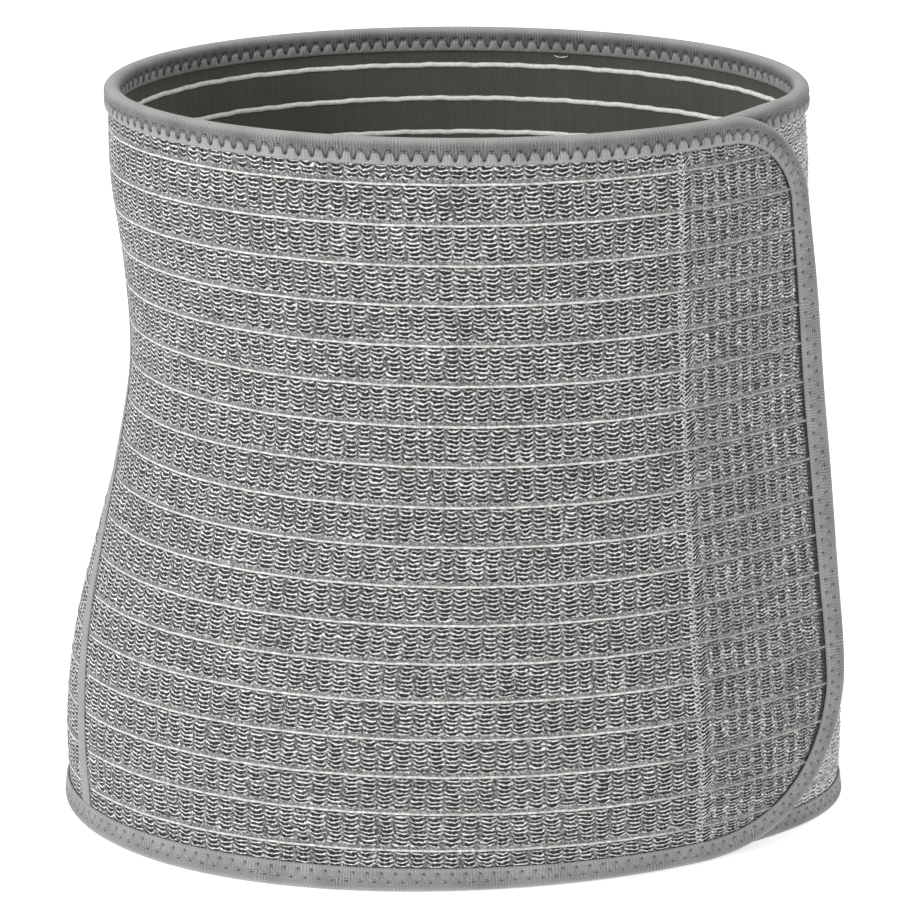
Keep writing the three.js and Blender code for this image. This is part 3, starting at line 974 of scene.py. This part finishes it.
out = fold[:, 1] + np.sign(fold[:, 1]) * is_skin * skin_relief(fold[:, 0], run)
points = beside_edge(station, fold[:, 0], out)
for vert, point in zip(binding_mesh.verts, points):
    vert.co = point
flat_u = along * edge_length / edge_count
flat_v = fold_run[around]
for face in binding_mesh.faces:
    face.smooth = True
    for loop in face.loops:
        loop[flat_uv].uv = (flat_u[loop.vert.index], flat_v[loop.vert.index])
bmesh.ops.remove_doubles(binding_mesh, verts=binding_mesh.verts, dist=2e-6)
bmesh.ops.recalc_face_normals(binding_mesh, faces=binding_mesh.faces)
binding_data = bpy.data.meshes.new("edge_binding_tape")
binding_mesh.to_mesh(binding_data)
binding_mesh.free()
edge_binding = bpy.data.objects.new("edge_binding_tape", binding_data)
bpy.context.scene.collection.objects.link(edge_binding)


def binding_knit():
    """Grey tape knit with dark needle holes; painted highlight on the pillows and on the rounded roll,
    painted shade in the creased stitch lines.
    """
    material, shader, knit = new_finish("binding_knit")
    place, run, around = flat_place(knit)
    skin = np.array(outer_skin)
    skin_run = fold_run[: len(outer_skin)]
    half = len(FOLD)
    edge = float(skin_run[half - 1])
    tooth = knit.mul(run, edge_count / round(TOOTH / STATION_STEP) / edge_length)
    swing = knit.math("ABSOLUTE", knit.sub(knit.mul(knit.math("FRACT", tooth), 2.0), 1.0))
    swing = knit.ramp(swing, *STITCH_SWING)
    # the same distances from the edge on both faces of the fold
    from_edge = knit.math("ABSOLUTE", knit.sub(around, edge))
    high = edge - float(np.interp(-STITCH_IN[0], -skin[:half, 0], skin_run[:half]))
    low = edge - float(np.interp(-STITCH_IN[1], -skin[:half, 0], skin_run[:half]))
    beyond = knit.sub(from_edge, knit.add(high, knit.mul(swing, low - high)))
    puffed = knit.ramp(run, top_run + PUFF_FADE, top_run - PUFF_FADE)
    # painted shade along the creased stitch lines
    crease = knit.ramp(knit.math("ABSOLUTE", beyond), 0.0008, 0.0001)
    crease = knit.mul(crease, knit.add(0.12, knit.mul(puffed, 0.88)))
    # painted highlight on the pillows between them
    pillow_highlight = knit.mul(knit.ramp(beyond, 0.0002, 0.0009), knit.add(0.25, knit.mul(puffed, 0.75)))
    # painted highlight on the rounded roll of the fold; the lip a little paler
    roll = knit.ramp(from_edge, 0.0040, 0.0010)
    lip = knit.ramp(from_edge, edge - 0.0019, edge - 0.0012)
    dark = 0.0
    for middle, phase, depth in ((high, 0.5, 0.94), (low, 0.0, 0.70)):
        nearest = knit.sub(knit.math("FRACT", knit.add(tooth, 0.5 - phase)), 0.5)
        sideways = knit.mul(nearest, TOOTH / 0.00072)
        upright = knit.mul(knit.sub(from_edge, middle), 1 / 0.00062)
        away = knit.math("SQRT", knit.add(knit.mul(sideways, sideways), knit.mul(upright, upright)))
        dark = knit.math("MAXIMUM", dark, knit.mul(knit.ramp(away, 1.1, 0.40), depth))
    bent = knit.add(run, knit.mul(knit.sub(knit.noise(place, 240.0, 1.0), 0.5), 0.0016))
    ribs = knit.math("SINE", knit.mul(bent, 2 * math.pi / 0.0010))
    cloud = knit.noise(place, 90.0, 3.0)
    fine = knit.sub(knit.noise(place, 2600.0, 2.0, 0.7), 0.5)
    patch = knit.ramp(knit.noise(place, 130.0, 1.0), 0.35, 0.65)
    tone = knit.add(knit.mul(cloud, 0.45), knit.mul(fine, 0.9))
    tone = knit.add(tone, knit.mul(knit.mul(ribs, patch), 0.16))
    tone = knit.add(tone, knit.add(knit.mul(pillow_highlight, 0.36), knit.mul(roll, 0.48)))
    tone = knit.add(tone, knit.add(knit.mul(lip, 0.06), knit.mul(knit.sub(0.36, puffed), 0.20)))
    tone = knit.math("ADD", tone, 0.0, clamp=True)
    ground = knit.tint(tone, (0.084, 0.085, 0.081), (0.44, 0.44, 0.43))
    # dark needle holes, and the painted crease shade, over the ground
    colour = knit.tint(knit.math("MAXIMUM", dark, knit.mul(crease, 0.30)), ground, (0.012, 0.012, 0.011))
    level = knit.sub(knit.add(knit.mul(ribs, 0.12), knit.mul(fine, 0.4)), knit.mul(crease, 0.8))
    finish_with(knit, shader, colour, 0.85, level, 0.0003)
    shader.inputs["Sheen Weight"].default_value = 0.10
    shader.inputs["Sheen Roughness"].default_value = 0.5
    return material


edge_binding.data.materials.append(binding_knit())
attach(edge_binding, "root")
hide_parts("edge_binding")


# Binding stitches: one grey zigzag thread on each face of the fold, dipping into each needle hole.

skin = np.array(FOLD)
stitch_step = TOOTH / 4
stitch_runs = np.arange(0, edge_length - stitch_step, stitch_step)
stitch_into = zigzag(stitch_runs)
stitch_angle = np.interp(stitch_runs, edge_run, edge_angle)
stitch_height = np.interp(stitch_runs, edge_run, edge_height)
stitch_along = np.interp(stitch_runs, edge_run, inward_along)
stitch_up = np.interp(stitch_runs, edge_run, inward_up)
skin_out = np.interp(-stitch_into, -skin[:, 0], skin[:, 1]) + skin_relief(stitch_into, stitch_runs)
stitch_level = stitch_height + stitch_into * stitch_up
stitch_turn = stitch_angle + degrees_for(stitch_into * stitch_along, stitch_height)
binding_stitches = laid_yarns(
    "binding_stitches",
    [
        (stitch_turn, stitch_level, skin_out + 0.00012),
        (stitch_turn, stitch_level, -skin_out - 0.00012),
    ],
    wide=0.00020,
    thick=0.00016,
)
binding_thread = yarn_finish("binding_thread", (0.16, 0.16, 0.15), (0.42, 0.42, 0.40), 0.00008)
binding_stitches.data.materials.append(binding_thread)
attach(binding_stitches, "root")


# Loose end: a short white tail of stitching thread under the binding at the middle of the back.

tail_angles = np.array([160.1, 160.2, 160.6, 161.1, 161.7, 162.2, 162.6, 162.7])
tail_heights = np.array([0.2312, 0.2311, 0.2309, 0.2308, 0.2308, 0.2309, 0.2311, 0.2312])
tail_out = -np.array([0.0016, 0.0018, 0.0023, 0.0026, 0.0026, 0.0022, 0.0016, 0.0014])
tail = (tail_angles, tail_heights, tail_out)
loose_end = laid_yarns("loose_thread_end", [tail], wide=0.00022, thick=0.00020)
loose_end.data.materials.append(thread_finish)
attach(loose_end, "root")


# Stage: a white floor, an even white sky, a softbox at the left of the front, and the camera.

FLOOR_HALF = 6
floor_mesh = bmesh.new()
bmesh.ops.create_grid(floor_mesh, x_segments=1, y_segments=1, size=FLOOR_HALF)
floor_data = bpy.data.meshes.new("floor")
floor_mesh.to_mesh(floor_data)
floor_mesh.free()
floor = bpy.data.objects.new("floor", floor_data)
bpy.context.scene.collection.objects.link(floor)
floor_finish, floor_shader, _ = new_finish("floor_paper")
floor_shader.inputs["Base Color"].default_value = (0.8, 0.8, 0.8, 1)
floor_shader.inputs["Emission Color"].default_value = (1, 1, 1, 1)
floor_shader.inputs["Emission Strength"].default_value = 0.55
floor_shader.inputs["Roughness"].default_value = 0.9
floor.data.materials.append(floor_finish)

world = bpy.data.worlds.new("studio")
world.use_nodes = True
world.node_tree.nodes["Background"].inputs["Color"].default_value = (1, 1, 1, 1)
world.node_tree.nodes["Background"].inputs["Strength"].default_value = 1.0
bpy.context.scene.world = world

SOFTBOX_PLACE = Vector((-1.6, -1.3, 1.1))
SOFTBOX_AIM = Vector((0, 0, 0.12))
softbox_data = bpy.data.lights.new("left_softbox", "AREA")
softbox_data.shape = "SQUARE"
softbox_data.size = 0.8
softbox_data.energy = 26
softbox = bpy.data.objects.new("left_softbox", softbox_data)
bpy.context.scene.collection.objects.link(softbox)
softbox.location = SOFTBOX_PLACE
softbox.rotation_euler = (SOFTBOX_AIM - SOFTBOX_PLACE).to_track_quat("-Z", "Y").to_euler()
bpy.context.scene.view_settings.view_transform = "Standard"

AIM = Vector((0.002196, 0.011321, 0.11096))
DISTANCE = 1.7446
PITCH = 15.985
camera_data = bpy.data.cameras.new("camera")
camera_data.lens = 207.4
camera_data.sensor_width = 36
camera = bpy.data.objects.new("camera", camera_data)
bpy.context.scene.collection.objects.link(camera)
pitch = math.radians(PITCH)
camera.location = AIM + Vector((0, -math.cos(pitch), math.sin(pitch))) * DISTANCE
camera.rotation_euler = (math.radians(90 - PITCH), 0, 0)
bpy.context.scene.camera = camera
